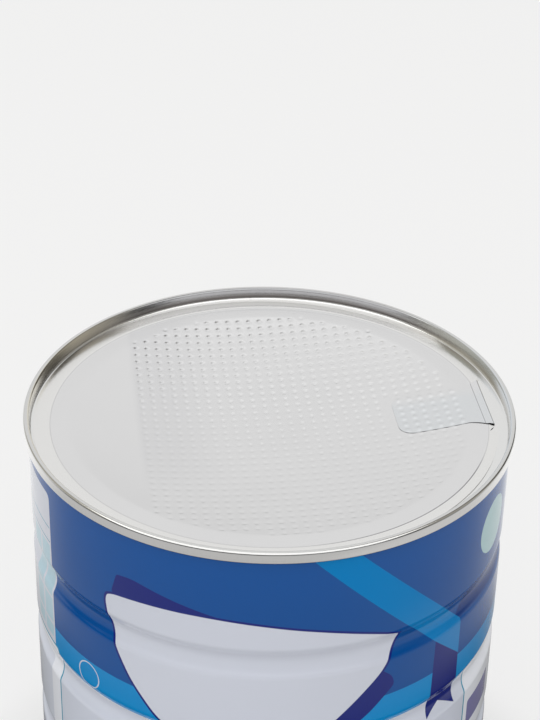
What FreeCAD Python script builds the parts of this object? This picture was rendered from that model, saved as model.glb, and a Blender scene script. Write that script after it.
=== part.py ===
import FreeCAD, Part
import math
import os
import re

import Sketcher

# Beaded three-piece milk powder tin, closed by a ring and a peel-off foil lid.
# Millimetres, +Z up, origin at the centre of the foot of the bottom seam.
# A "drop" is measured down from the top rim.

SIZES = [
    ("overall_height", 154.0, "foot of the bottom seam to the top rim"),
    ("wall_radius", 63.9, "outside of the straight wall"),
    ("wall_sheet", 0.2, "tinplate of the wall"),
    ("seam_height", 3.0, "outer face of a double seam"),
    ("seam_proud", 1.2, "how far a double seam stands out from the wall"),
    ("seam_thickness", 1.6, "double seam, measured across at its edge"),
    ("seam_round", 0.65, "rounding over the edge of a seam, outside and inside"),
    ("seam_roll", 0.5, "rounding where a seam is rolled against the wall"),
    ("collar_reach", 0.5, "how far the wall enters each seam"),
    ("bead_count", 4, "stiffening beads rolled into the wall"),
    ("bead_margin", 35.2, "end of the tin to the middle of the nearest bead"),
    ("bead_half_width", 5.1, "middle of a bead to the straight wall"),
    ("bead_depth", 1.25, "how far a bead is rolled in"),
    ("bead_shoulder", 3.5, "radius of the two edges of a bead"),
    ("end_sheet", 0.25, "steel of the top ring and the bottom end"),
    ("chuck_taper", 0.2, "inward lean of the inside of a seam"),
    ("panel_round", 0.5, "rounding between the inside of a seam and a panel"),
    ("panel_drop", 3.45, "rim down to the flat panel of the top ring"),
    ("ledge_width", 5.2, "flat panel of the top ring, up to the opening"),
    ("curl_radius", 0.6, "curl that blunts the edge of that opening"),
    ("foil_sheet", 0.15, "foil"),
    ("foil_clearance", 1.7, "inside of the seam to the foil disc"),
    ("foil_shift", 1.0, "how far the disc sits off the axis, away from its tab"),
    ("foil_step", 0.15, "fall of the foil just inside the opening"),
    ("foil_bend", 0.25, "half the width of that fall"),
    ("foil_turn", 7.8, "direction of the tab in degrees from +X"),
    ("bowl_margin", 5.1, "opening to where the foil starts to sag"),
    ("bowl_sag", 4.5, "depth of the sag on the axis"),
    ("fold_margin", 0.5, "opening to the fold of the tab"),
    ("tab_reach", 24.4, "fold to the tip of the tab"),
    ("tab_width", 18.2, "tab"),
    ("tab_root", 21.8, "tab at its fold"),
    ("tab_flare", 6.1, "length over which the tab widens to its fold"),
    ("tab_corner", 4.0, "corners at the tip of the tab"),
    ("tab_offset", 0.9, "middle of the tab, sideways from the line to the axis"),
    ("tab_lift", 0.3, "space under the folded tab"),
    ("tab_relief", 0.5, "cut beside each end of the fold"),
    ("recess_round", 0.7, "half the width of the deepest ring of the bottom end"),
    ("floor_depth", 3.0, "foot of the tin up to the panel of the bottom end"),
    ("floor_clearance", 0.3, "middle of that panel up to the level of its deepest ring"),
    ("step_count", 3, "expansion steps pressed into the bottom end"),
    ("step_margin", 4.0, "edge of the bottom panel to its first step"),
    ("step_pitch", 9.0, "radial distance between steps"),
    ("step_run", 1.2, "radial length of a step"),
    ("step_rise", 0.4, "height of a step"),
]

# Places and radii that follow from the sizes, each named once for every piece that meets there.
FOLLOWING = {
    "seam_radius": "wall_radius + seam_proud",
    "chuck_top": "seam_radius - seam_thickness",
    "chuck_foot": "chuck_top - chuck_taper",
    "collar_radius": "wall_radius - wall_sheet",
    "collar_drop": "seam_height - collar_reach",
    "bead_arc": "(bead_half_width ^ 2 + bead_depth ^ 2) / (2 * bead_depth)",
    "panel_top": "overall_height - panel_drop",
    "ring_hole": "chuck_foot - ledge_width",
    "foil_radius": "chuck_foot - foil_clearance",
    "fold_place": "ring_hole + fold_margin",
    "bowl_radius": "ring_hole - bowl_margin",
    "bowl_rim": "panel_top - foil_step",
    "bowl_arc": "(bowl_radius ^ 2 + bowl_sag ^ 2) / (2 * bowl_sag)",
    "flare_step": "(tab_root - tab_width) / 2",
    "flare_arc": "(tab_flare ^ 2 + flare_step ^ 2) / (2 * flare_step)",
    "recess_depth": "floor_depth + step_count * step_rise + floor_clearance",
    "floor_edge": "chuck_foot - 2 * recess_round",
}

LEFT = 1
RIGHT = -1

doc = FreeCAD.newDocument("formula_tin")
dims = doc.addObject("Spreadsheet::Sheet", "dims")
for row, (alias, value, meaning) in enumerate(SIZES, start=1):
    dims.set("A%d" % row, str(value))
    dims.setAlias("A%d" % row, alias)
    dims.set("B%d" % row, meaning)
doc.recompute()


def bound(formula):
    """The formula in terms of the spreadsheet's sizes alone."""
    def spelled(found):
        name = found.group()
        return "(%s)" % bound(FOLLOWING[name]) if name in FOLLOWING else "dims." + name
    return re.sub(r"[a-z]+_[a-z_]+", spelled, formula)


def number(formula):
    """Present value of a formula."""
    return float(dims.evalExpression(bound(formula)))


def new_body(label):
    """Empty body named after its piece."""
    body = doc.addObject("PartDesign::Body", label)
    body.Label = label
    return body


def turn_to_tab(body):
    """Turns a body of the foil so that its +X points at the tab."""
    body.Placement = FreeCAD.Placement(
        FreeCAD.Vector(), FreeCAD.Rotation(FreeCAD.Vector(0, 0, 1), number("foil_turn")))
    body.setExpression("Placement.Rotation.Angle", "dims.foil_turn * 1 deg")


def origin_plane(body, role):
    """One of the body's own origin planes."""
    return next(feature for feature in body.Origin.OriginFeatures if feature.Role == role)


def hold(sketch, constraint, formula):
    """Adds a constraint whose value follows a formula."""
    place = sketch.addConstraint(constraint)
    sketch.setExpression("Constraints[%d]" % place, bound(formula))


def pin(sketch, index, end, axis, formula):
    """Ties one coordinate of a point to a formula."""
    if formula == "0":
        axis_line = {"X": -2, "Y": -1}[axis]
        sketch.addConstraint(Sketcher.Constraint("PointOnObject", index, end, axis_line))
    elif number(formula) < 0:
        back = "-(%s)" % formula
        hold(sketch, Sketcher.Constraint("Distance" + axis, index, end, -1, 1, number(back)), back)
    else:
        hold(sketch, Sketcher.Constraint("Distance" + axis, -1, 1, index, end, number(formula)), formula)


def arc_between(start, finish, radius, turn):
    """The shorter arc from start to finish, turning to its left or right."""
    chord = finish - start
    toward_centre = FreeCAD.Vector(-chord.y, chord.x, 0).normalize() * turn
    to_centre = math.sqrt(max(radius ** 2 - chord.Length ** 2 / 4, 0))
    middle = (start + finish) / 2 + toward_centre * (to_centre - radius)
    return Part.Arc(start, middle, finish)


def draw_loop(sketch, corners):
    """Closed outline.  A corner is (across, up), and its edge runs straight to the next corner;
    (across, up, radius, side) makes that edge an arc that turns LEFT or RIGHT."""
    points = [FreeCAD.Vector(number(corner[0]), number(corner[1]), 0) for corner in corners]
    edges = []
    for place, corner in enumerate(corners):
        start, finish = points[place], points[(place + 1) % len(points)]
        if len(corner) == 2:
            edges.append((sketch.addGeometry(Part.LineSegment(start, finish)), 1, 2))
            continue
        radius, side = corner[2:]
        index = sketch.addGeometry(arc_between(start, finish, number(radius), side))
        hold(sketch, Sketcher.Constraint("Radius", index, number(radius)), radius)
        edges.append((index, 1, 2) if side == LEFT else (index, 2, 1))
    for place, corner in enumerate(corners):
        index, begin, _ = edges[place]
        before, _, last = edges[place - 1]
        sketch.addConstraint(Sketcher.Constraint("Coincident", before, last, index, begin))
        pin(sketch, index, begin, "X", corner[0])
        pin(sketch, index, begin, "Y", corner[1])


def new_sketch(body, name, plane, corners):
    """Sketch with one closed outline on an origin plane of its body."""
    sketch = body.newObject("Sketcher::SketchObject", name)
    sketch.AttachmentSupport = [(origin_plane(body, plane), "")]
    sketch.MapMode = "FlatFace"
    draw_loop(sketch, corners)
    return sketch


def revolve(body, name, corners, kind="PartDesign::Revolution"):
    """Turns a profile, given as radius and height, round the tin's axis."""
    feature = body.newObject(kind, name + "_turned")
    feature.Profile = new_sketch(body, name, "XZ_Plane", corners)
    feature.ReferenceAxis = (feature.Profile[0], ["V_Axis"])
    feature.Angle = 360
    return feature


def trim_outside(body, name, corners):
    """Cuts away whatever lies outside an outline, seen from above."""
    sketch = new_sketch(body, name, "XY_Plane", corners)
    beyond = 2 * number("seam_radius")
    index = sketch.addGeometry(Part.Circle(FreeCAD.Vector(), FreeCAD.Vector(0, 0, 1), beyond))
    sketch.addConstraint(Sketcher.Constraint("Coincident", index, 3, -1, 1))
    hold(sketch, Sketcher.Constraint("Radius", index, beyond), "2 * seam_radius")
    pocket = body.newObject("PartDesign::Pocket", name + "_trimmed")
    pocket.Profile = sketch
    pocket.SideType = "Two sides"
    pocket.Type = "ThroughAll"
    pocket.Type2 = "ThroughAll"


def make_can_body():
    """Printed wall and packed contents as one solid, with a thin collar that enters each seam."""
    body = new_body("can_body")
    base = "recess_depth + end_sheet"
    shelf = "panel_top - end_sheet"
    curl_middle = "panel_top - curl_radius"
    revolve(body, "wall_profile", [
        ("0", base),
        ("collar_radius", base),
        ("collar_radius", "collar_drop"),
        ("wall_radius", "collar_drop"),
        ("wall_radius", "overall_height - collar_drop"),
        ("collar_radius", "overall_height - collar_drop"),
        ("collar_radius", shelf),
        ("ring_hole + 2 * curl_radius", shelf),
        ("ring_hole + 2 * curl_radius", curl_middle, "curl_radius", RIGHT),
        ("ring_hole + curl_radius", "panel_top - 2 * curl_radius", "curl_radius", RIGHT),
        ("ring_hole", curl_middle),
        ("ring_hole", "bowl_rim"),
        ("bowl_radius", "bowl_rim", "bowl_arc", RIGHT),
        ("0", "bowl_rim - bowl_sag"),
    ])
    waist = "wall_radius - bead_shoulder * bead_depth / bead_arc"
    reach = "bead_half_width * (1 - bead_shoulder / bead_arc)"
    outside = "wall_radius + bead_depth"
    bead = revolve(body, "bead_profile", [
        ("wall_radius", "bead_margin + bead_half_width", "bead_shoulder", RIGHT),
        (waist, "bead_margin + " + reach, "bead_arc - bead_shoulder", LEFT),
        (waist, "bead_margin - " + reach, "bead_shoulder", RIGHT),
        ("wall_radius", "bead_margin - bead_half_width"),
        (outside, "bead_margin - bead_half_width"),
        (outside, "bead_margin + bead_half_width"),
    ], "PartDesign::Groove")
    beads = body.newObject("PartDesign::LinearPattern", "beads")
    beads.Originals = [bead]
    beads.Direction = (bead.Profile[0], ["V_Axis"])
    beads.setExpression("Length", "dims.overall_height - 2 * dims.bead_margin")
    beads.setExpression("Occurrences", "dims.bead_count")
    body.Tip = beads
    return body


def make_top_ring():
    """Steel ring: double seam, chuck wall, flat panel under the foil, and a curled inner edge."""
    body = new_body("top_ring")
    curl_middle = "panel_top - curl_radius"
    revolve(body, "ring_profile", [
        ("collar_radius", "panel_top - end_sheet"),
        ("collar_radius", "overall_height - collar_drop"),
        ("wall_radius", "overall_height - collar_drop"),
        ("wall_radius", "overall_height - seam_height"),
        ("seam_radius - seam_roll", "overall_height - seam_height", "seam_roll", LEFT),
        ("seam_radius", "overall_height - seam_height + seam_roll"),
        ("seam_radius", "overall_height - seam_round", "seam_round", LEFT),
        ("seam_radius - seam_round", "overall_height"),
        ("chuck_top + seam_round", "overall_height", "seam_round", LEFT),
        ("chuck_top", "overall_height - seam_round"),
        ("chuck_foot", "panel_top + panel_round", "panel_round", RIGHT),
        ("chuck_foot - panel_round", "panel_top"),
        ("ring_hole + curl_radius", "panel_top", "curl_radius", LEFT),
        ("ring_hole", curl_middle, "curl_radius", LEFT),
        ("ring_hole + curl_radius", "panel_top - 2 * curl_radius", "curl_radius", LEFT),
        ("ring_hole + 2 * curl_radius", curl_middle),
        ("ring_hole + 2 * curl_radius", "panel_top - end_sheet"),
    ])
    return body


def make_bottom_end():
    """Steel end: double seam, countersunk ring and a panel with expansion steps."""
    body = new_body("bottom_end")
    steps = []
    for step in range(int(number("step_count"))):
        edge = "floor_edge - panel_round - step_margin - %d * step_pitch" % step
        level = "floor_depth + %d * step_rise" % step
        steps.append((edge, level))
        steps.append((edge + " - step_run", level + " + step_rise"))
    middle = "floor_depth + step_count * step_rise"
    inner_steps = [(across, up + " + end_sheet") for across, up in reversed(steps)]
    revolve(body, "end_profile", [
        ("collar_radius", "recess_depth + end_sheet"),
        ("collar_radius", "collar_drop"),
        ("wall_radius", "collar_drop"),
        ("wall_radius", "seam_height"),
        ("seam_radius - seam_roll", "seam_height", "seam_roll", RIGHT),
        ("seam_radius", "seam_height - seam_roll"),
        ("seam_radius", "seam_round", "seam_round", RIGHT),
        ("seam_radius - seam_round", "0"),
        ("chuck_top + seam_round", "0", "seam_round", RIGHT),
        ("chuck_top", "seam_round"),
        ("chuck_foot", "recess_depth - recess_round", "recess_round", LEFT),
        ("chuck_foot - recess_round", "recess_depth", "recess_round", LEFT),
        ("floor_edge", "recess_depth - recess_round"),
        ("floor_edge", "floor_depth + panel_round", "panel_round", RIGHT),
        ("floor_edge - panel_round", "floor_depth"),
    ] + steps + [
        ("0", middle),
        ("0", middle + " + end_sheet"),
    ] + inner_steps + [
        ("floor_edge - end_sheet", "floor_depth + end_sheet"),
        ("floor_edge - end_sheet", "recess_depth - recess_round", "recess_round + end_sheet", RIGHT),
        ("chuck_foot - recess_round", "recess_depth + end_sheet"),
    ])
    return body


def foil_profile(lift):
    """Cross-section of foil that follows the opening's edge and the sagging bowl, lifted by a formula."""
    lower_rim = "bowl_rim + " + lift
    lower_seal = "panel_top + " + lift
    return [
        ("0", lower_rim + " - bowl_sag", "bowl_arc", LEFT),
        ("bowl_radius", lower_rim),
        ("ring_hole - foil_bend", lower_rim),
        ("ring_hole + foil_bend", lower_seal),
        ("chuck_foot - panel_round", lower_seal),
        ("chuck_foot - panel_round", lower_seal + " + foil_sheet"),
        ("ring_hole + foil_bend", lower_seal + " + foil_sheet"),
        ("ring_hole - foil_bend", lower_rim + " + foil_sheet"),
        ("bowl_radius", lower_rim + " + foil_sheet", "bowl_arc", RIGHT),
        ("0", lower_rim + " + foil_sheet - bowl_sag"),
    ]


def make_foil_disc():
    """Foil sealed on the ring and sagging inside it, cut straight where its tab is folded back."""
    body = new_body("foil_disc")
    turn_to_tab(body)
    revolve(body, "disc_profile", foil_profile("0"))
    notch_top = "(tab_offset + tab_root / 2 + tab_relief)"
    notch_foot = "(tab_offset - tab_root / 2 - tab_relief)"
    rim_at = "sqrt(foil_radius ^ 2 - %s ^ 2) - foil_shift"
    trim_outside(body, "disc_outline", [
        ("fold_place", notch_top),
        (rim_at % notch_top, notch_top, "foil_radius", LEFT),
        ("-foil_shift", "foil_radius", "foil_radius", LEFT),
        ("-foil_shift - foil_radius", "0", "foil_radius", LEFT),
        ("-foil_shift", "-foil_radius", "foil_radius", LEFT),
        (rim_at % notch_foot, notch_foot),
        ("fold_place", notch_foot),
    ])
    return body


def make_tab_flap():
    """Tab folded back over the disc, widening to its fold and rounded at its tip."""
    body = new_body("tab_flap")
    turn_to_tab(body)
    revolve(body, "flap_profile", foil_profile("foil_sheet + tab_lift"))
    tip = "fold_place - tab_reach"
    neck = "fold_place - tab_flare"
    trim_outside(body, "flap_outline", [
        ("fold_place", "tab_offset - tab_root / 2"),
        ("fold_place", "tab_offset + tab_root / 2", "flare_arc", RIGHT),
        (neck, "tab_offset + tab_width / 2"),
        (tip + " + tab_corner", "tab_offset + tab_width / 2", "tab_corner", LEFT),
        (tip, "tab_offset + tab_width / 2 - tab_corner"),
        (tip, "tab_offset - tab_width / 2 + tab_corner", "tab_corner", LEFT),
        (tip + " + tab_corner", "tab_offset - tab_width / 2"),
        (neck, "tab_offset - tab_width / 2", "flare_arc", RIGHT),
    ])
    return body


def make_tab_fold():
    """Half-round fold that joins the tab to the disc."""
    body = new_body("tab_fold")
    turn_to_tab(body)
    inner = "(tab_lift / 2)"
    outer = "(tab_lift / 2 + foil_sheet)"
    middle = "(panel_top + foil_sheet + tab_lift / 2)"
    pad = body.newObject("PartDesign::Pad", "fold_padded")
    pad.Profile = new_sketch(body, "fold_profile", "XZ_Plane", [
        ("fold_place", "%s - %s" % (middle, outer), outer, LEFT),
        ("fold_place + " + outer, middle, outer, LEFT),
        ("fold_place", "%s + %s" % (middle, outer)),
        ("fold_place", "%s + %s" % (middle, inner), inner, RIGHT),
        ("fold_place + " + inner, middle, inner, RIGHT),
        ("fold_place", "%s - %s" % (middle, inner)),
    ])
    pad.SideType = "Two sides"
    pad.setExpression("Length", "dims.tab_root / 2 - dims.tab_offset")
    pad.setExpression("Length2", "dims.tab_root / 2 + dims.tab_offset")
    return body


def make_foil_lid():
    """Disc, fold and tab are one piece of foil."""
    lid = doc.addObject("Part::MultiFuse", "foil_lid")
    lid.Label = "foil_lid"
    lid.Shapes = [make_foil_disc(), make_tab_fold(), make_tab_flap()]
    return lid


pieces = [make_can_body(), make_top_ring(), make_bottom_end(), make_foil_lid()]
doc.recompute()

for item in doc.Objects:
    if "Invalid" in item.State or "Error" in item.State:
        raise RuntimeError("%s did not build" % item.Name)
for piece in pieces:
    if piece.Shape.isNull() or not piece.Shape.isValid():
        raise RuntimeError("%s has no valid shape" % piece.Label)

os.makedirs("parts", exist_ok=True)
for piece in pieces:
    piece.Shape.exportStep("parts/%s.step" % piece.Label)
    print("%s: %.1f cubic millimetres" % (piece.Label, piece.Shape.Volume))
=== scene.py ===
import math

import bmesh
import bpy
from mathutils import Matrix, Vector


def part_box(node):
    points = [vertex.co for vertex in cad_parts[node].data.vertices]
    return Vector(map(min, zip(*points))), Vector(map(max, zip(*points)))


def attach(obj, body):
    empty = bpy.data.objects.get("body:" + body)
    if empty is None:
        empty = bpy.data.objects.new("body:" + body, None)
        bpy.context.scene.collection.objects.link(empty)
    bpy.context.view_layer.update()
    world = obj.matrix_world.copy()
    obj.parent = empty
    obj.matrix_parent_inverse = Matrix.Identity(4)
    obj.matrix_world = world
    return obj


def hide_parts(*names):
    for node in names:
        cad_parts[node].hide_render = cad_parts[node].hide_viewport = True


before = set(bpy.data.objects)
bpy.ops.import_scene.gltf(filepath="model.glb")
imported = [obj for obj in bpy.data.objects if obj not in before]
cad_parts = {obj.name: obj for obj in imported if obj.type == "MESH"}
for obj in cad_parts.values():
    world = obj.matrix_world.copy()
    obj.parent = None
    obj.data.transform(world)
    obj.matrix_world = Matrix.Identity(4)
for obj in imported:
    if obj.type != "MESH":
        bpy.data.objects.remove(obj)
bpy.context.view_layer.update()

# ------------------------------------------------------------------ sizes, in metres
MM = 0.001
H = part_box("top_ring")[1][2]                       # rim of the tin
SEAM_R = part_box("top_ring")[1][0]                  # outside of the seams
WALL_R = 63.9 * MM
FIRST_BEAD, HEIGHT = 35.2, 154                     # mm; the beads are the same from both ends
BEADS = [(FIRST_BEAD + i * (HEIGHT - 2 * FIRST_BEAD) / 3) * MM for i in range(4)]
BEAD_HALF, BEAD_DEEP, BEAD_SHOULDER = 5.1 * MM, 1.25 * MM, 3.5 * MM
TURN = math.radians(7.8)                           # the foil's own x axis, towards its tab


# ------------------------------------------------------------------ mesh helpers
def new_object(name, verts, faces, materials):
    mesh = bpy.data.meshes.new(name)
    mesh.from_pydata([tuple(v) for v in verts], [], faces)
    mesh.update()
    for material in materials:
        mesh.materials.append(material)
    mesh.shade_smooth()
    obj = bpy.data.objects.new(name, mesh)
    bpy.context.scene.collection.objects.link(obj)
    return obj


def arc(cx, cy, r, a0, a1, n):
    """Points of an arc in the (radius, height) plane, angles in degrees."""
    return [(cx + r * math.cos(math.radians(a0 + (a1 - a0) * i / n)),
             cy + r * math.sin(math.radians(a0 + (a1 - a0) * i / n))) for i in range(n + 1)]


def grid_faces(rows, columns):
    """Quads of an open grid whose points are listed row by row."""
    return [(i * columns + k, (i + 1) * columns + k, (i + 1) * columns + k + 1, i * columns + k + 1)
            for i in range(rows - 1) for k in range(columns - 1)]


def lathe(name, profile, segments, material):
    """Turns an open line of (radius, height) points round the axis."""
    verts, faces = [], []
    count = len(profile)
    for s in range(segments):
        a = 2 * math.pi * s / segments
        verts += [(r * math.cos(a), r * math.sin(a), z) for r, z in profile]
    for s in range(segments):
        t = (s + 1) % segments
        for i in range(count - 1):
            faces.append((s * count + i, t * count + i, t * count + i + 1, s * count + i + 1))
    return new_object(name, verts, faces, [material])


# ------------------------------------------------------------------ shader helpers
class Nodes:
    """Small builder that turns sums and products of sockets into the nodes of a material or world."""

    def __init__(self, owner):
        self.owner = owner
        owner.use_nodes = True
        self.tree = owner.node_tree
        self.shader = self.tree.nodes.get("Principled BSDF")

    def node(self, kind, **settings):
        node = self.tree.nodes.new(kind)
        for key, value in settings.items():
            setattr(node, key, value)
        return node

    def link(self, source, socket):
        if isinstance(source, (int, float, tuple)):
            socket.default_value = source
        else:
            self.tree.links.new(source, socket)

    def math(self, operation, *terms):
        node = self.node("ShaderNodeMath", operation=operation)
        for socket, term in zip(node.inputs, terms):
            self.link(term, socket)
        return node.outputs[0]

    def length(self, a, b):
        squares = [self.math("MULTIPLY", part, part) for part in (a, b)]
        return self.math("SQRT", self.math("ADD", *squares))

    def off(self, value, centre):
        """Distance of a value from a centre."""
        return self.math("ABSOLUTE", self.math("SUBTRACT", value, centre))

    def ramp(self, value, low, high):
        """0 at low, 1 at high, eased."""
        node = self.node("ShaderNodeMapRange", interpolation_type="SMOOTHSTEP")
        self.link(value, node.inputs["Value"])
        node.inputs["From Min"].default_value = low
        node.inputs["From Max"].default_value = high
        return node.outputs["Result"]

    def mix(self, amount, first, second):
        node = self.node("ShaderNodeMix", data_type="RGBA")
        self.link(amount, node.inputs["Factor"])
        self.link(first, node.inputs["A"])
        self.link(second, node.inputs["B"])
        return node.outputs["Result"]

    def noise(self, vector, scale, detail, rough):
        node = self.node("ShaderNodeTexNoise")
        self.link(vector, node.inputs["Vector"])
        node.inputs["Scale"].default_value = scale
        node.inputs["Detail"].default_value = detail
        node.inputs["Roughness"].default_value = rough
        return node.outputs["Fac"]

    def combine(self, *parts):
        node = self.node("ShaderNodeCombineXYZ")
        for socket, part in zip(node.inputs, parts):
            self.link(part, socket)
        return node.outputs[0]

    def bump(self, height, strength, distance):
        node = self.node("ShaderNodeBump")
        self.link(height, node.inputs["Height"])
        node.inputs["Strength"].default_value = strength
        node.inputs["Distance"].default_value = distance
        self.link(node.outputs["Normal"], self.shader.inputs["Normal"])

    def place(self, kind="Object"):
        """Coordinates, and their three parts."""
        coords = self.node("ShaderNodeTexCoord")
        split = self.node("ShaderNodeSeparateXYZ")
        self.link(coords.outputs[kind], split.inputs[0])
        return coords.outputs[kind], split.outputs[0], split.outputs[1], split.outputs[2]

    def along(self, x, y):
        """Place along the foil's own x axis."""
        return self.math("MULTIPLY_ADD", x, math.cos(TURN), self.math("MULTIPLY", y, math.sin(TURN)))

    def look(self, colour, metallic, roughness):
        for name, source in (("Base Color", colour), ("Metallic", metallic), ("Roughness", roughness)):
            self.link(source, self.shader.inputs[name])


def new_nodes(name):
    return Nodes(bpy.data.materials.new(name))


def srgb(r, g, b):
    """A screen colour, 0 to 255, as the shader's own."""
    def linear(c):
        c /= 255
        return c / 12.92 if c <= 0.04045 else ((c + 0.055) / 1.055) ** 2.4
    return (linear(r), linear(g), linear(b), 1.0)


# ------------------------------------------------------------------ the print
# Fields are drawn on the unrolled wall: u is millimetres round from the front (-Y), positive
# towards +X, and v is millimetres up from the rim, so it is negative on the wall.
DEG = WALL_R / MM * math.pi / 180                  # millimetres for each degree round
BAND_TOP, BAND_FOOT = 50.8, 60.5                   # cyan band, mm below the rim
PRINT_FOOT = -147.0                                # where the framed panels end
FOOT_BAND = 147.6                                  # blue band above the lower seam, mm below the rim
BARE_HALF = 3.4                                    # half the unprinted strip along the weld, mm
PANEL_EDGE = 150                                   # degrees at which the guessed panels end


def wall_material():
    n = new_nodes("printed_tinplate")
    position, x, y, z = n.place()
    angle = n.math("ARCTAN2", x, n.math("MULTIPLY", y, -1.0))
    u = n.math("MULTIPLY", angle, WALL_R / MM)
    v = n.math("DIVIDE", n.math("SUBTRACT", z, H), MM)

    def edge(p, q):
        """Distance beyond the line from p to q, positive on its right-hand side."""
        dx, dy = q[0] - p[0], q[1] - p[1]
        size = math.hypot(dx, dy)
        a, b = dy / size, -dx / size
        across = n.math("MULTIPLY_ADD", u, a, -(a * p[0] + b * p[1]))
        return n.math("MULTIPLY_ADD", v, b, across)

    def both(first, second, blend=0.0):
        if blend:
            return n.math("SMOOTH_MAX", first, second, blend)
        return n.math("MAXIMUM", first, second)

    def either(first, second):
        return n.math("MINIMUM", first, second)

    def polygon(points, blend=0.0):
        """Convex field; its corners are (degrees, mm), anticlockwise, and blend rounds them."""
        points = [(degrees * DEG, level) for degrees, level in points]
        field = None
        for p, q in zip(points, points[1:] + points[:1]):
            side = edge(p, q)
            field = side if field is None else both(field, side, blend)
        return field

    def disc(degrees, cy, r):
        return n.math("SUBTRACT", n.length(n.math("SUBTRACT", u, degrees * DEG), n.math("SUBTRACT", v, cy)), r)

    def cover(field, soft=0.08):
        """1 inside a field and 0 outside."""
        return n.ramp(field, soft, -soft)

    def line(field, width):
        """Thin line along the edge of a field."""
        return n.math("SUBTRACT", n.math("ABSOLUTE", field), width / 2)

    blue = srgb(0, 76, 148)
    upper_blue = srgb(4, 80, 154)
    deep = srgb(0, 52, 122)
    cyan = srgb(0, 136, 202)
    sky = srgb(0, 126, 193)
    pale = srgb(211, 216, 229)
    white = srgb(209, 213, 225)
    # bright: white painted lighter for the side panels, to make up for the weaker light there
    bright = srgb(234, 237, 245)
    navy = srgb(20, 34, 118)
    teal = srgb(60, 150, 182)
    mint = srgb(172, 206, 210)
    ice = srgb(178, 208, 222)
    lilac = srgb(126, 124, 170)
    shade = srgb(20, 30, 60)

    colour = n.mix(n.ramp(v, -2.0, -30.0), upper_blue, blue)

    def paint(amount, tint):
        nonlocal colour
        colour = n.mix(amount, colour, tint)

    # darker field beside the pennant, fading towards the side: print deepened by a painted dark reflection of
    # the bead it lies in
    beside = cover(polygon([(50, -38.5), (110, -38.5), (110, -31.5), (56, -31.5)], 1.0), 0.5)
    paint(n.math("MULTIPLY", beside, n.ramp(u, 104 * DEG, 70 * DEG)), deep)
    # cyan band and the pale lower field
    paint(cover(n.math("ADD", v, BAND_TOP)), cyan)
    paint(cover(n.math("ADD", v, BAND_FOOT)), pale)
    # ribbon that runs down to the right and folds into a pennant with a swallowtail
    ribbon = polygon([(7.0, 0), (43.3, -40.8), (52.2, -50.2), (52.2, -38.7), (17.6, 0)])
    paint(cover(ribbon), sky)
    tail = [(degrees * DEG, level) for degrees, level in ((41.6, -67.2), (46.9, -63.5), (52.4, -67.2))]
    notch = either(edge(tail[1], tail[2]), edge(tail[0], tail[1]))
    pennant = both(polygon([(43.1, -40.6), (42.4, -68), (52.4, -68), (52.1, -50)]), notch)
    paint(cover(pennant), navy)
    # shield: wedge and swoosh behind it, outline, white field
    wedge = polygon([(-37.0, -23), (-30.0, -30), (-5, -30), (-10, -21.6), (-31, -16.4), (-35.4, -17)], 1.2)
    swoosh = polygon([(15.0, -62), (24, -56), (31.2, -48), (30.6, -45), (27, -41.5), (10, -50)], 1.5)
    paint(cover(either(wedge, swoosh)), navy)
    shield = polygon([(-38.9, -26.4), (-38.2, -32), (-36.0, -40.5), (-32.2, -48.5), (-26, -57),
                      (-16, -66), (-6, -71), (3, -69.5), (11, -61), (20.5, -51), (27.6, -42.5),
                      (30.6, -36.2), (31.9, -32.2), (26, -29.6), (14, -25.8), (0, -23), (-12, -21.9),
                      (-24, -22.2), (-33, -23.1), (-36.8, -23.8), (-38.4, -24.7)], 1.0)
    paint(cover(n.math("SUBTRACT", shield, 0.7)), navy)
    paint(cover(shield), white)
    # bare round badge, and a plain ring where a small badge sits on the band
    paint(cover(disc(66, -18, 8)), mint)
    paint(cover(line(disc(-45.5, -55.6, 3.9), 0.35)), white)
    # panel on the left with a rounded corner, its rules and pale cells
    left = polygon([(-PANEL_EDGE, -8.2), (-PANEL_EDGE, PRINT_FOOT), (-60.5, PRINT_FOOT), (-60.5, -8.2)], 3.0)
    paint(cover(left), white)
    for level in (-19.0, -23.5):
        top, low = level + 0.15, level - 0.15
        paint(cover(polygon([(-149, top), (-149, low), (-61, low), (-61, top)])), teal)
    cells = n.math("PINGPONG", n.math("ADD", v, 24.2), 4.4)
    for inner, outer in ((-61.3, -66.4), (-67.4, -72.6), (-90.0, -118.0)):
        column = polygon([(outer, -24.4), (outer, -55), (inner, -55), (inner, -24.4)], 0.8)
        paint(cover(both(column, n.math("SUBTRACT", 0.45, cells))), ice)
    # framed panels below it and on the right, and the plain blocks in them; the panels' white is painted
    # lighter than the shield's to make up for the weaker light on the sides
    for first, last, top in ((-PANEL_EDGE, -58.6, -57.0), (57.2, PANEL_EDGE, -59.4)):
        panel = polygon([(first, top), (first, PRINT_FOOT), (last, PRINT_FOOT), (last, top)], 2.5)
        paint(cover(panel), bright)
        paint(cover(line(panel, 0.55)), teal)
    for first, last, top, low, tint in ((59.4, 74, -72.5, -81.2, lilac), (78, 118, -72.5, -81.2, ice),
                                        (59.4, 118, -86, -140, pale), (-118, -64, -64, -140, pale)):
        paint(cover(polygon([(first, top), (first, low), (last, low), (last, top)], 1.6)), tint)
    # painted shade in the corner under the seam
    paint(n.math("MULTIPLY", n.ramp(v, -4.1, -3.2), 0.45), shade)
    # foot band, and the bare strip along the weld at the back
    paint(cover(n.math("ADD", v, FOOT_BAND)), blue)
    from_weld = n.math("SUBTRACT", math.pi * WALL_R / MM, n.math("ABSOLUTE", u))
    bare = cover(n.math("MULTIPLY", n.math("SUBTRACT", BARE_HALF, from_weld), -1.0), 0.12)
    grain = n.noise(position, 260.0, 3.0, 0.6)
    paint(bare, n.mix(grain, (0.58, 0.57, 0.54, 1), (0.76, 0.75, 0.72, 1)))
    n.look(colour, bare, n.math("MULTIPLY_ADD", grain, 0.05, 0.09))
    n.bump(n.noise(position, 120.0, 2.0, 0.5), 0.04, 0.0001)
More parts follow.
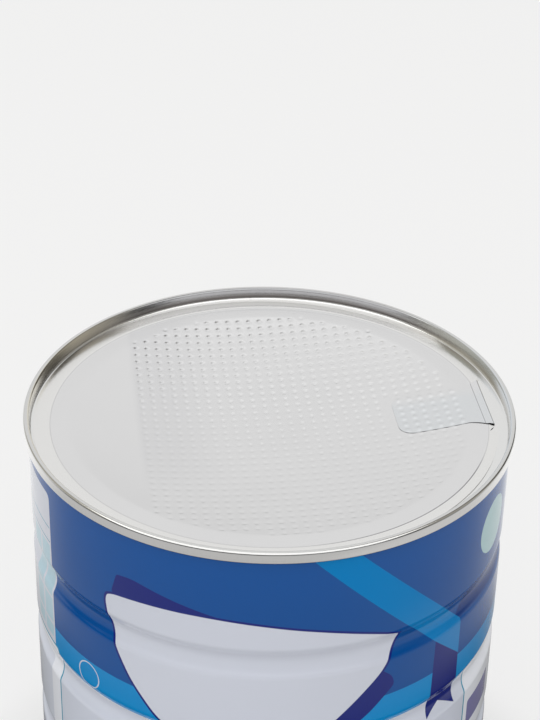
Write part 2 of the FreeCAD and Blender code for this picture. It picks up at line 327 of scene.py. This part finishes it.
    # the upper part of the ribbon has less gloss
    matter = n.math("MULTIPLY", cover(ribbon), n.ramp(v, -40.0, -20.0))
    n.link(n.math("MULTIPLY_ADD", matter, -0.26, 0.42), n.shader.inputs["Specular IOR Level"])
    return n.owner


def steel_material(name, dark, light, rough, across):
    """Rolled steel: streaks that run along the object's X, wavering lengthways, and a fine grain."""
    n = new_nodes(name)
    _, x, y, z = n.place()
    streaks = n.noise(n.combine(n.math("MULTIPLY", x, 0.06), y, n.math("MULTIPLY", z, 0.4)), across, 5.0, 0.65)
    n.look(n.mix(streaks, dark, light), 1.0, n.math("MULTIPLY_ADD", streaks, 0.12, rough))
    n.bump(streaks, 0.15, 0.00004)
    return n.owner


# ------------------------------------------------------------------ wall
WALL_END = 2.6 * MM                                # the wall goes on this far from the rim, under the seam
BEAD_ROWS, PLAIN_ROWS = 54, 16


def bead_shift(z):
    """How far the wall is rolled in at a height."""
    arc_r = (BEAD_HALF ** 2 + BEAD_DEEP ** 2) / (2 * BEAD_DEEP)
    bottom_r = arc_r - BEAD_SHOULDER
    for drop in BEADS:
        d = abs(z - (H - drop))
        if d >= BEAD_HALF:
            continue
        join = BEAD_HALF * (1 - BEAD_SHOULDER / arc_r)
        if d <= join:
            return BEAD_DEEP - (bottom_r - math.sqrt(bottom_r ** 2 - d ** 2))
        return BEAD_SHOULDER - math.sqrt(BEAD_SHOULDER ** 2 - (BEAD_HALF - d) ** 2)
    return 0.0


def make_wall():
    """The wall between its seams, with close rows of points at the beads."""
    reach = BEAD_HALF + 0.4 * MM
    stops = [H - WALL_END]
    for drop in BEADS:
        stops += [H - drop + reach, H - drop - reach]
    stops.append(WALL_END)
    heights = []
    for k, (top, bottom) in enumerate(zip(stops, stops[1:])):
        count = BEAD_ROWS if k % 2 else PLAIN_ROWS
        heights += [top + (bottom - top) * i / count for i in range(count)]
    heights.append(stops[-1])
    profile = [(WALL_R - bead_shift(z), z) for z in reversed(heights)]
    return lathe("wall", profile, 300, wall_material())


def make_weld():
    """Welded overlap up the back: a slim raised strip that follows the beads."""
    rows, count, half_angle = 421, 9, 0.55 * MM / WALL_R
    verts = []
    for k in range(rows):
        z = 2.9 * MM + (H - 5.8 * MM) * k / (rows - 1)
        under = WALL_R - bead_shift(z)
        ripple = 0.012 * math.sin(k * 1.9)
        for i in range(count):
            t = i / (count - 1) * 2 - 1
            lift = (0.09 + ripple) * (1 - t ** 4) - 0.02
            a = math.pi / 2 + t * half_angle
            r = under + lift * MM
            verts.append((r * math.cos(a), r * math.sin(a), z))
    weld_steel = steel_material("weld_steel", (0.40, 0.39, 0.38, 1), (0.60, 0.59, 0.57, 1), 0.26, 900.0)
    return new_object("side_weld", verts, grid_faces(rows, count), [weld_steel])


wall = make_wall()
weld = make_weld()
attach(weld, "root")
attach(wall, "root")
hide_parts("can_body")


# ------------------------------------------------------------------ seams and ends
STEEL = steel_material("lacquered_tinplate", (0.62, 0.61, 0.59, 1), (0.82, 0.81, 0.79, 1), 0.08, 420.0)
BOSS_EDGE_R = 61.95 * MM                           # the bottom's panel ends and its seam begins

# The seam's outside, the same on both ends: (radius, distance from the tin's end) in mm.
SEAM_SIDE = [(65.07, 0.8), (65.02, 1.25), (65.01, 1.75), (65.04, 2.2), (65.08, 2.6)]
SEAM_HOOK = (64.74, 2.85, 0.35)                    # rounding under the seam: radius, level, its own radius
SEAM_OUTER = (64.44, 0.65, 0.65)                   # outer half of the seam's round edge
SEAM_INNER = (64.15, 0.65, 0.65)                   # inner half
SEAM_START = (63.95, 3.2)


def seam_profile():
    """Top ring from its seam to its curled inner edge, (radius, drop) in mm."""
    pts = [SEAM_START, (64.74, 3.2)]
    pts += arc(*SEAM_HOOK, 90, 0, 6)[1:]
    pts += SEAM_SIDE[::-1] + [(65.09, 0.65)]
    pts += arc(*SEAM_OUTER, 0, -90, 8)[1:]
    pts += arc(*SEAM_INNER, -90, -180, 8)
    pts += [(63.3, 2.95)]
    pts += arc(62.8, 2.95, 0.5, 0, 90, 6)[1:]
    pts += [(60.5, 3.45), (58.7, 3.45)]
    pts += arc(58.7, 4.05, 0.6, -90, -270, 10)[1:]
    return [(r * MM, H - drop * MM) for r, drop in pts]


def base_profile():
    """Bottom end from the middle of its stepped panel out to its seam, (radius, height) in mm."""
    pts = [(0.02, 4.2)]
    for rim, level in ((39.4, 3.8), (48.4, 3.4), (57.4, 3.0)):
        pts += [(rim - 1.3, level + 0.4), (rim - 1.1, level + 0.36),
                (rim - 0.1, level + 0.04), (rim + 0.1, level)]
    pts += arc(61.4, 3.5, 0.5, -90, 0, 6)
    pts += arc(62.6, 3.8, 0.7, 180, 0, 12)
    pts += arc(*SEAM_INNER, 180, 270, 8)
    pts += arc(*SEAM_OUTER, 270, 360, 8)
    pts += SEAM_SIDE
    pts += arc(*SEAM_HOOK, 0, 90, 6)
    pts += [SEAM_START]
    return [(r * MM, z * MM) for r, z in pts]


def drawn_grain(n, x, y, z):
    """Fine drawing lines that run up and down a seam."""
    return n.noise(n.combine(n.math("MULTIPLY", n.math("ARCTAN2", y, x), 60.0),
                             n.math("MULTIPLY", z, 60.0)), 6.0, 4.0, 0.7)


def ring_material():
    """The top ring: seam with drawing lines, its top painted darker and its face lighter; chuck wall with
    a painted reflection, warmer at the left, and painted shade deeper down and at the back; and the
    ledge inside it, painted satin white at the back in place of its mirror of the dark wall."""
    n = new_nodes("ring_tinplate")
    _, x, y, z = n.place()
    far = n.length(x, y)
    inside = n.math("MULTIPLY", n.ramp(far, 63.34 * MM, 63.26 * MM), n.ramp(z, H - 2.6 * MM, H - 2.9 * MM))
    behind = n.ramp(y, 0.55 * SEAM_R, 0.90 * SEAM_R)
    grain = drawn_grain(n, x, y, z)
    # painted light: the seam's top is given a darker tone than its face, to set how bright each one's
    # reflection comes out
    seam = n.mix(grain, (0.68, 0.68, 0.67, 1), (0.82, 0.82, 0.81, 1))
    face = n.mix(grain, (0.86, 0.85, 0.83, 1), (0.99, 0.98, 0.96, 1))
    seam = n.mix(n.ramp(z, H - 0.5 * MM, H - 0.9 * MM), seam, face)
    # painted reflection: the chuck wall is warmer at the left and cooler at the right
    side = n.math("MULTIPLY_ADD", x, 0.5 / SEAM_R, 0.5)
    chuck = n.mix(side, (0.86, 0.82, 0.72, 1), (0.80, 0.84, 0.88, 1))
    # painted shade, deeper down the chuck wall
    depth = n.ramp(z, H - 0.6 * MM, H - 2.9 * MM)
    chuck = n.mix(depth, chuck, (0.62, 0.60, 0.57, 1))
    # painted shade on the chuck wall at the back, darkest low down
    back = n.mix(depth, (0.40, 0.40, 0.41, 1), (0.15, 0.135, 0.13, 1))
    chuck = n.mix(n.ramp(y, 0.50 * SEAM_R, 0.85 * SEAM_R), chuck, back)
    seam = n.mix(n.ramp(far, 64.15 * MM, 63.75 * MM), seam, chuck)
    # painted light: the ledge is painted whiter and, at the back, satin instead of metal, in place of its
    # mirror of the dark wall
    panel = n.mix(behind, (0.88, 0.88, 0.87, 1), (0.97, 0.97, 0.96, 1))
    ledge = n.math("MULTIPLY", n.math("MULTIPLY", inside, behind), n.ramp(far, 63.25 * MM, 63.0 * MM))
    rough = n.math("MULTIPLY_ADD", grain, 0.08, 0.07)
    n.look(n.mix(inside, seam, panel), n.math("MULTIPLY_ADD", ledge, -0.85, 1.0),
           n.math("MULTIPLY_ADD", ledge, 0.3, rough))
    n.bump(grain, 0.25, 0.00005)
    return n.owner


def drawn_material():
    """Steel of the bottom seam, with fine drawing lines across it."""
    n = new_nodes("drawn_tinplate")
    _, x, y, z = n.place()
    grain = drawn_grain(n, x, y, z)
    n.look(n.mix(grain, (0.62, 0.62, 0.61, 1), (0.82, 0.82, 0.80, 1)), 1.0,
           n.math("MULTIPLY_ADD", grain, 0.08, 0.14))
    n.bump(grain, 0.25, 0.00005)
    return n.owner


ring = lathe("ring", seam_profile(), 360, ring_material())
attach(ring, "root")
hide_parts("top_ring")

base = lathe("base", base_profile(), 300, STEEL)
base.data.materials.append(drawn_material())
for face in base.data.polygons:
    face.material_index = int(math.hypot(face.center.x, face.center.y) > BOSS_EDGE_R)
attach(base, "root")
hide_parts("bottom_end")


# ------------------------------------------------------------------ foil, in mm and along its own axes
PITCH = 3.02                                       # embossing
LATTICE_X, LATTICE_Y = 0.2, -0.45                  # where its rows start
FIELD_R, FIELD_LEFT = 52.4, -34.5                  # how far it reaches
DIMPLE_R, DIMPLE_NEAR, DIMPLE_MORE = 1.08, 0.215, 0.075
DISC_R, DISC_SHIFT = 61.6, 1.0
LEDGE_LEVEL, BOWL_LEVEL = -3.30, -3.45             # foil on the ledge, and just inside it
BOWL_R, SAG, SAG_POWER = 53.0, 4.45, 2.37
FOIL_SKIRT, TAB_SKIRT = 0.14 * MM, 0.07 * MM
FOLD_X, TAB_MID, TAB_HALF, ROOT_HALF = 58.6, 0.9, 9.1, 10.9
TIP_X, FLARE, CORNER = 34.2, 6.1, 4.0
FOLD_RISE = 0.33                                   # the tab's fold above the foil
TURNED = Matrix.Rotation(TURN, 4, "Z")


def foil_material():
    """Matt foil, warmer and brighter where it lies on the ring, with a crease at the ring's edge that is
    darkened by a painted line of shade.
    """
    n = new_nodes("embossed_foil")
    position, x, y, _ = n.place()
    far = n.length(x, y)
    on_ring = n.ramp(far, 57.9 * MM, 58.4 * MM)
    crease = n.ramp(n.off(far, 58.1 * MM), 0.22 * MM, 0.05 * MM)
    cloud = n.noise(position, 45.0, 3.0, 0.55)
    tone = n.mix(cloud, (0.822, 0.82, 0.822, 1), (0.862, 0.86, 0.862, 1))
    # the embossed field is a little duller at its left
    along = n.along(x, y)
    field = n.math("MULTIPLY", n.ramp(along, -36.0 * MM, -33.5 * MM), n.ramp(along, -10.0 * MM, -28.0 * MM))
    field = n.math("MULTIPLY", field, n.ramp(y, -40.0 * MM, -8.0 * MM))
    tone = n.mix(field, tone, (0.802, 0.80, 0.806, 1))
    tone = n.mix(on_ring, tone, (0.90, 0.895, 0.88, 1))
    # painted shade: a dark line along the crease
    tone = n.mix(n.math("MULTIPLY", crease, 0.22), tone, (0.35, 0.35, 0.36, 1))
    # from beside the tab's fold round to the front the crease's painted shade deepens to a dark line
    turn = n.math("ARCTAN2", y, x)
    crease_painted_shade = n.ramp(n.off(far, 57.98 * MM), 0.18 * MM, 0.05 * MM)
    stretch = n.math("MULTIPLY", n.ramp(turn, -0.24, -0.46), n.ramp(turn, -1.50, -1.10))
    crease_painted_shade = n.math("MULTIPLY", crease_painted_shade, stretch)
    tone = n.mix(n.math("MULTIPLY", crease_painted_shade, 0.85), tone, (0.08, 0.08, 0.09, 1))
    # under the far wall the rim's foil is painted a satin white in place of its mirror of the wall
    satin = n.math("MULTIPLY", n.ramp(far, 58.6 * MM, 60.2 * MM), n.ramp(y, 0.55 * SEAM_R, 0.90 * SEAM_R))
    n.look(n.mix(satin, tone, (0.74, 0.74, 0.73, 1)), n.math("MULTIPLY_ADD", satin, -0.85, 1.0),
           n.math("MULTIPLY_ADD", cloud, 0.10, 0.17))
    fine = n.noise(position, 900.0, 2.0, 0.6)
    n.bump(n.math("SUBTRACT", fine, n.math("MULTIPLY", crease, 1.5)), 0.2, 0.00004)
    return n.owner


def tab_material():
    """The tab's foil, a little bluer, with dark lines of painted shade at its crease and its fold."""
    n = new_nodes("tab_foil")
    position, x, y, _ = n.place()
    along = n.along(x, y)
    cloud = n.noise(position, 60.0, 3.0, 0.55)
    tone = n.mix(cloud, (0.775, 0.795, 0.81, 1), (0.815, 0.832, 0.846, 1))
    # towards its far edge the tab takes the tone of the foil under it
    across = n.math("MULTIPLY_ADD", x, -math.sin(TURN), n.math("MULTIPLY", y, math.cos(TURN)))
    like_foil = n.mix(cloud, (0.818, 0.817, 0.82, 1), (0.858, 0.857, 0.86, 1))
    tone = n.mix(n.ramp(across, 3.0 * MM, 9.5 * MM), tone, like_foil)
    # painted shade: dark lines at the tab's crease and its fold
    for place, width, amount in ((56.7, 0.16, 0.6), (58.66, 0.14, 0.7)):
        line = n.ramp(n.off(along, place * MM), width * MM, 0.02 * MM)
        tone = n.mix(n.math("MULTIPLY", line, amount), tone, (0.2, 0.2, 0.21, 1))
    n.look(tone, 1.0, n.math("MULTIPLY_ADD", cloud, 0.10, 0.15))
    n.bump(n.noise(position, 900.0, 2.0, 0.6), 0.2, 0.00004)
    return n.owner


FOIL = foil_material()
# dark steel for the painted shadow beside the tab's fold, and for the tab's border: its cut edge and the
# painted shadow of the gap under it
DARK = steel_material("edge_and_painted_shadow", (0.05, 0.05, 0.06, 1), (0.18, 0.18, 0.19, 1), 0.5, 1500.0)


def ease(t):
    t = min(max(t, 0.0), 1.0)
    return t * t * (3 - 2 * t)


def foil_level(x, y):
    """Top of the smooth foil, from the rim."""
    r = math.hypot(x, y)
    if r > 58.35:
        return LEDGE_LEVEL
    if r > BOWL_R:
        return BOWL_LEVEL + 0.15 * ease((r - 57.85) / 0.5)
    return BOWL_LEVEL - SAG * (1 - (r / BOWL_R) ** SAG_POWER)


def cap(distance, radius, height):
    return height * (1 - (distance / radius) ** 2) ** 2 if distance < radius else 0.0


def in_field(x, y):
    """Whether a dimple is embossed at this lattice point.  None lies under the tab."""
    if x > TIP_X - 0.9 and abs(y - TAB_MID) < TAB_HALF + 0.9:
        return False
    if math.hypot(x, y) > FIELD_R + (1.3 if y > 40 else 0) or x < FIELD_LEFT:
        return False
    # the field's left corners are rounded
    return not (x < -24 and math.hypot(x + 16, abs(y) - 33) > 21.5 and abs(y) > 33)


def dimple(x, y):
    """Depth of the embossed dimple at a point of the disc.  They are pressed deeper towards the back."""
    cx = LATTICE_X + PITCH * round((x - LATTICE_X) / PITCH)
    cy = LATTICE_Y + PITCH * round((y - LATTICE_Y) / PITCH)
    if not in_field(cx, cy):
        return 0.0
    return cap(math.hypot(x - cx, y - cy), DIMPLE_R, DIMPLE_NEAR + DIMPLE_MORE * ease((y - 2) / 24))


def add_skirt(obj, depth, slot=0):
    """Gives a sheet the look of its thickness: its border is carried down."""
    bm = bmesh.new()
    bm.from_mesh(obj.data)
    bmesh.ops.delete(bm, geom=[v for v in bm.verts if not v.link_faces], context="VERTS")
    border = [e for e in bm.edges if e.is_boundary]
    made = bmesh.ops.extrude_edge_only(bm, edges=border)["geom"]
    for v in made:
        if isinstance(v, bmesh.types.BMVert):
            v.co.z -= depth
        if isinstance(v, bmesh.types.BMFace):
            v.material_index = slot
    bmesh.ops.recalc_face_normals(bm, faces=bm.faces)
    for e in border:
        e.smooth = False
    bm.to_mesh(obj.data)
    bm.free()


def make_foil():
    """The membrane on a fine lattice, its border points drawn in to the disc and to the fold."""
    step = PITCH / 8
    n = int(DISC_R / step) + 4
    verts, index, inside = [], {}, {}
    for i in range(-n, n + 1):
        for j in range(-n, n + 1):
            x, y = i * step + LATTICE_X, j * step + LATTICE_Y
            far = math.hypot(x + DISC_SHIFT, y)
            notch = x > FOLD_X and abs(y - TAB_MID) < ROOT_HALF + 0.5
            inside[i, j] = far <= DISC_R and not notch
            if notch:
                x = FOLD_X
            elif far > DISC_R:
                x, y = (x + DISC_SHIFT) * DISC_R / far - DISC_SHIFT, y * DISC_R / far
            index[i, j] = len(verts)
            verts.append((x * MM, y * MM, H + (foil_level(x, y) - dimple(x, y)) * MM))
    faces = []
    for i in range(-n, n):
        for j in range(-n, n):
            quad = [(i, j), (i + 1, j), (i + 1, j + 1), (i, j + 1)]
            if any(inside[c] for c in quad):
                faces.append([index[c] for c in quad])
    foil = new_object("foil", verts, faces, [FOIL])
    add_skirt(foil, FOIL_SKIRT)
    foil.data.transform(TURNED)
    return foil


def half_width(x):
    """Half the tab's width at a distance from the axis."""
    flare_r = (FLARE ** 2 + (ROOT_HALF - TAB_HALF) ** 2) / (2 * (ROOT_HALF - TAB_HALF))
    if x > FOLD_X - FLARE:
        d = x - (FOLD_X - FLARE)
        return TAB_HALF + flare_r - math.sqrt(flare_r ** 2 - d ** 2)
    if x < TIP_X + CORNER:
        d = TIP_X + CORNER - x
        return TAB_HALF - CORNER + math.sqrt(max(CORNER ** 2 - d ** 2, 0))
    return TAB_HALF


def tab_level(x, y, t):
    """Top of the tab, t from -1 to 1 across it: it rises to its fold, ripples at its sides, and
    shows the dimples from behind as bumps, with two small grip marks."""
    rise = 0.02 + 0.09 * ease((x - 50) / 6) + 0.22 * ease((x - 56.6) / 2.0)
    ripple = 0.035 * math.cos(2 * math.pi * (x - 1.0) / PITCH) * abs(t) ** 6 * ease((53 - x) / 4)
    z = foil_level(x, y) + 0.05 + rise + ripple
    for i in range(6):
        for j in range(6):
            z += cap(math.hypot(x - (36.3 + 2.92 * i), y - (8.1 - 2.94 * j)), 1.35, 0.23)
    for cy in (1.5, -1.4):
        z += cap(math.hypot((x - 45.2) / 1.3, (y - cy) / 0.8), 0.8, 0.09)
    return z


def make_tab():
    """The tab from its tip to its fold, then the fold itself as half a turn."""
    across, tip_rows, plain_rows, fold_rows = 72, 16, 84, 12
    stations = [TIP_X + CORNER * (1 - math.cos(math.pi / 2 * i / tip_rows)) for i in range(tip_rows + 1)]
    stations += [stations[-1] + (FOLD_X - stations[-1]) * i / plain_rows for i in range(1, plain_rows + 1)]
    places = [2 * k / across - 1 for k in range(across + 1)]
    verts = []
    for x in stations:
        for t in places:
            y = TAB_MID + half_width(x) * t
            verts.append((x * MM, y * MM, H + tab_level(x, y, t) * MM))
    top = foil_level(FOLD_X, TAB_MID) + 0.05 + FOLD_RISE
    radius = (top - BOWL_LEVEL) / 2
    for a in range(1, fold_rows + 1):
        turn = math.pi * a / fold_rows
        x, z = FOLD_X + radius * math.sin(turn), top - radius + radius * math.cos(turn)
        verts += [(x * MM, (TAB_MID + ROOT_HALF * t) * MM, H + z * MM) for t in places]
    faces = grid_faces(len(stations) + fold_rows, len(places))
    tab = new_object("pull_tab", verts, faces, [tab_material(), DARK])
    # the tab's border takes the dark steel: its cut edge and the painted shadow of the gap under it
    add_skirt(tab, TAB_SKIRT, 1)
    tab.data.transform(TURNED)
    return tab


def make_painted_corner_shadow():
    """Short dark mark beside the fold: painted shadow under the foil's corner there."""
    a, b, w = Vector((58.4, -11.1, 0)), Vector((57.0, -12.8, 0)), 0.17
    side = (b - a).normalized().cross(Vector((0, 0, 1))) * w
    corners = [a, a + (b - a) * 0.5 + side, b, a + (b - a) * 0.5 - side]
    verts = [(c.x * MM, c.y * MM, H + (foil_level(c.x, c.y) + 0.02) * MM) for c in corners]
    notch = new_object("painted_corner_shadow", verts, [(0, 1, 2, 3)], [DARK])
    notch.data.transform(TURNED)
    return notch


foil = make_foil()
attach(foil, "root")
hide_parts("foil_lid")
for extra in (make_tab(), make_painted_corner_shadow()):
    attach(extra, "root")


# ------------------------------------------------------------------ floor, light, camera
FLOOR_TONE = srgb(252, 252, 252)
FLOOR_SHARE, NEAR_SHARE = 0.72, -0.2               # glow that keeps the floor pale, and less near the tin, which paints a soft shade round it
GREY, NEAR_BLACK, FULL = (0.50, 0.50, 0.50, 1), (0.05, 0.05, 0.05, 1), (1, 1, 1, 1)


def floor_material():
    """Pale table that keeps a share of each shadow.  Glosses see it grey at the front and the sides,
    lighter at the right, and dark close round the tin and far out; behind the tin they see it pale."""
    n = new_nodes("pale_table")
    n.link((0.8, 0.8, 0.8, 1), n.shader.inputs["Base Color"])
    n.link(0.9, n.shader.inputs["Roughness"])
    n.link(0.0, n.shader.inputs["Specular IOR Level"])
    _, x, y, _ = n.place()
    rays = n.node("ShaderNodeLightPath")
    glossy = n.math("MAXIMUM", rays.outputs["Is Glossy Ray"], rays.outputs["Is Transmission Ray"])
    seen = n.math("MAXIMUM", rays.outputs["Is Camera Ray"], glossy)
    far = n.length(x, y)
    table = n.mix(n.ramp(far, 0.36, 0.50), GREY, NEAR_BLACK)
    table = n.mix(n.math("MULTIPLY", n.ramp(x, 0.08, 0.24), 0.15), table, FULL)
    table = n.mix(n.ramp(far, 0.180, 0.152), table, NEAR_BLACK)
    table = n.mix(n.ramp(y, 0.0, 0.22), table, FLOOR_TONE)
    glow = n.node("ShaderNodeEmission")
    n.link(n.mix(glossy, FLOOR_TONE, table), glow.inputs["Color"])
    mixed = n.node("ShaderNodeMixShader")
    # less glow near the tin lets the darker lit floor show there: a painted soft shade round the tin
    share = n.math("MULTIPLY_ADD", n.ramp(far, 0.106, 0.082), NEAR_SHARE, FLOOR_SHARE)
    n.link(n.math("MAXIMUM", glossy, n.math("MULTIPLY", seen, share)), mixed.inputs[0])
    n.link(n.shader.outputs[0], mixed.inputs[1])
    n.link(glow.outputs[0], mixed.inputs[2])
    n.link(mixed.outputs[0], n.tree.nodes["Material Output"].inputs["Surface"])
    return n.owner


floor_mesh = bpy.data.meshes.new("floor")
floor_mesh.from_pydata([(-6, -6, 0), (6, -6, 0), (6, 6, 0), (-6, 6, 0)], [], [(0, 1, 2, 3)])
floor = bpy.data.objects.new("floor", floor_mesh)
bpy.context.scene.collection.objects.link(floor)
floor_mesh.materials.append(floor_material())

# The world's levels: (place, grey).  Heights run from the horizon at 0 to overhead at 1, and
# directions from the camera's side at 0 to the back at 1.
BACK_BY_HEIGHT = [(0.0, 0.78), (0.15, 0.74), (0.36, 0.81), (0.50, 0.815),
                  (0.62, 0.94), (0.72, 0.95), (0.90, 0.50), (1.0, 0.40)]
FRONT_BY_HEIGHT = [(0.0, 1.0), (0.55, 0.9), (0.86, 0.35), (1.0, 1.0)]
SIDES = [(0.0, 0.15), (0.28, 0.15), (0.42, 1.0), (0.66, 1.0), (0.80, 0.28)]


def make_world():
    """Soft studio: a pale sweep behind the object, greyer sides that are warmer and lighter at the
    left, and dim round the camera."""
    world = bpy.data.worlds.new("studio")
    bpy.context.scene.world = world
    n = Nodes(world)

    def levels(value, stops):
        ramp = n.node("ShaderNodeValToRGB")
        n.link(value, ramp.inputs[0])
        ramp.color_ramp.interpolation = "EASE"
        while len(ramp.color_ramp.elements) < len(stops):
            ramp.color_ramp.elements.new(0.5)
        for element, (place, level) in zip(ramp.color_ramp.elements, stops):
            element.position = place
            element.color = (level, level, level, 1)
        return ramp.outputs[0]

    _, x, y, z = n.place("Generated")
    flat = n.length(x, y)
    height = n.math("DIVIDE", n.math("ARCTAN2", z, flat), math.pi / 2)
    toward_back = n.math("MULTIPLY_ADD", n.math("DIVIDE", y, flat), 0.5, 0.5)
    left = levels(n.math("DIVIDE", x, n.math("MULTIPLY", flat, -1.0)), [(0.15, 0.0), (0.5, 1.0)])
    behind = levels(n.math("MULTIPLY_ADD", left, 0.045, toward_back), [(0.88, 0.0), (0.94, 1.0)])
    back_left = n.math("MULTIPLY", left, levels(toward_back, [(0.55, 0.0), (0.70, 0.9)]))
    sides = n.math("MAXIMUM", levels(toward_back, SIDES), back_left)
    warm = n.mix(left, (0.38, 0.36, 0.32, 1), (0.50, 0.48, 0.42, 1))
    front = n.mix(n.math("MULTIPLY", sides, levels(height, FRONT_BY_HEIGHT)), (0, 0, 0, 1), warm)
    background = n.tree.nodes["Background"]
    n.link(n.mix(behind, front, levels(height, BACK_BY_HEIGHT)), background.inputs["Color"])
    n.link(1.0, background.inputs["Strength"])


def area(name, place, target, size, power):
    data = bpy.data.lights.new(name, "AREA")
    data.shape = "RECTANGLE"
    data.size, data.size_y = size
    data.energy = power
    lamp = bpy.data.objects.new(name, data)
    bpy.context.scene.collection.objects.link(lamp)
    lamp.location = place
    lamp.rotation_euler = (Vector(target) - Vector(place)).to_track_quat("-Z", "Y").to_euler()


make_world()
area("key", (-0.2, -1.6, 2.2), (0, 0, 0.08), (8.0, 4.6), 146)

# The camera as it was fitted to the photo: angles in radians, focal length in pixels of a frame
# 720 high, and its place in seam radii from the middle of the rim.
PITCH_DOWN, YAW, ROLL = math.radians(31.2815), math.radians(-0.0308), 0.0215604
FOCAL_PIXELS, FRAME_PIXELS, SENSOR = 1934.347, 720, 36
FIT_RADIUS = 65.1
CAMERA_BACK, CAMERA_UP = 6.63372, 4.24646

forward = Vector((math.sin(YAW) * math.cos(PITCH_DOWN), math.cos(YAW) * math.cos(PITCH_DOWN),
                  -math.sin(PITCH_DOWN)))
right = Vector((math.cos(YAW), -math.sin(YAW), 0))
up = right.cross(forward)
tilted_right = math.cos(ROLL) * right + math.sin(ROLL) * up
tilted_up = -math.sin(ROLL) * right + math.cos(ROLL) * up
camera_data = bpy.data.cameras.new("camera")
camera_data.sensor_width = SENSOR
camera_data.sensor_fit = "AUTO"
camera_data.lens = FOCAL_PIXELS * SENSOR / FRAME_PIXELS
camera = bpy.data.objects.new("camera", camera_data)
bpy.context.scene.collection.objects.link(camera)
camera.matrix_world = Matrix((
    (tilted_right.x, tilted_up.x, -forward.x, 0.0),
    (tilted_right.y, tilted_up.y, -forward.y, -CAMERA_BACK * FIT_RADIUS * MM),
    (tilted_right.z, tilted_up.z, -forward.z, H + CAMERA_UP * FIT_RADIUS * MM),
    (0, 0, 0, 1)))
bpy.context.scene.camera = camera

bpy.context.scene.view_settings.view_transform = "Standard"
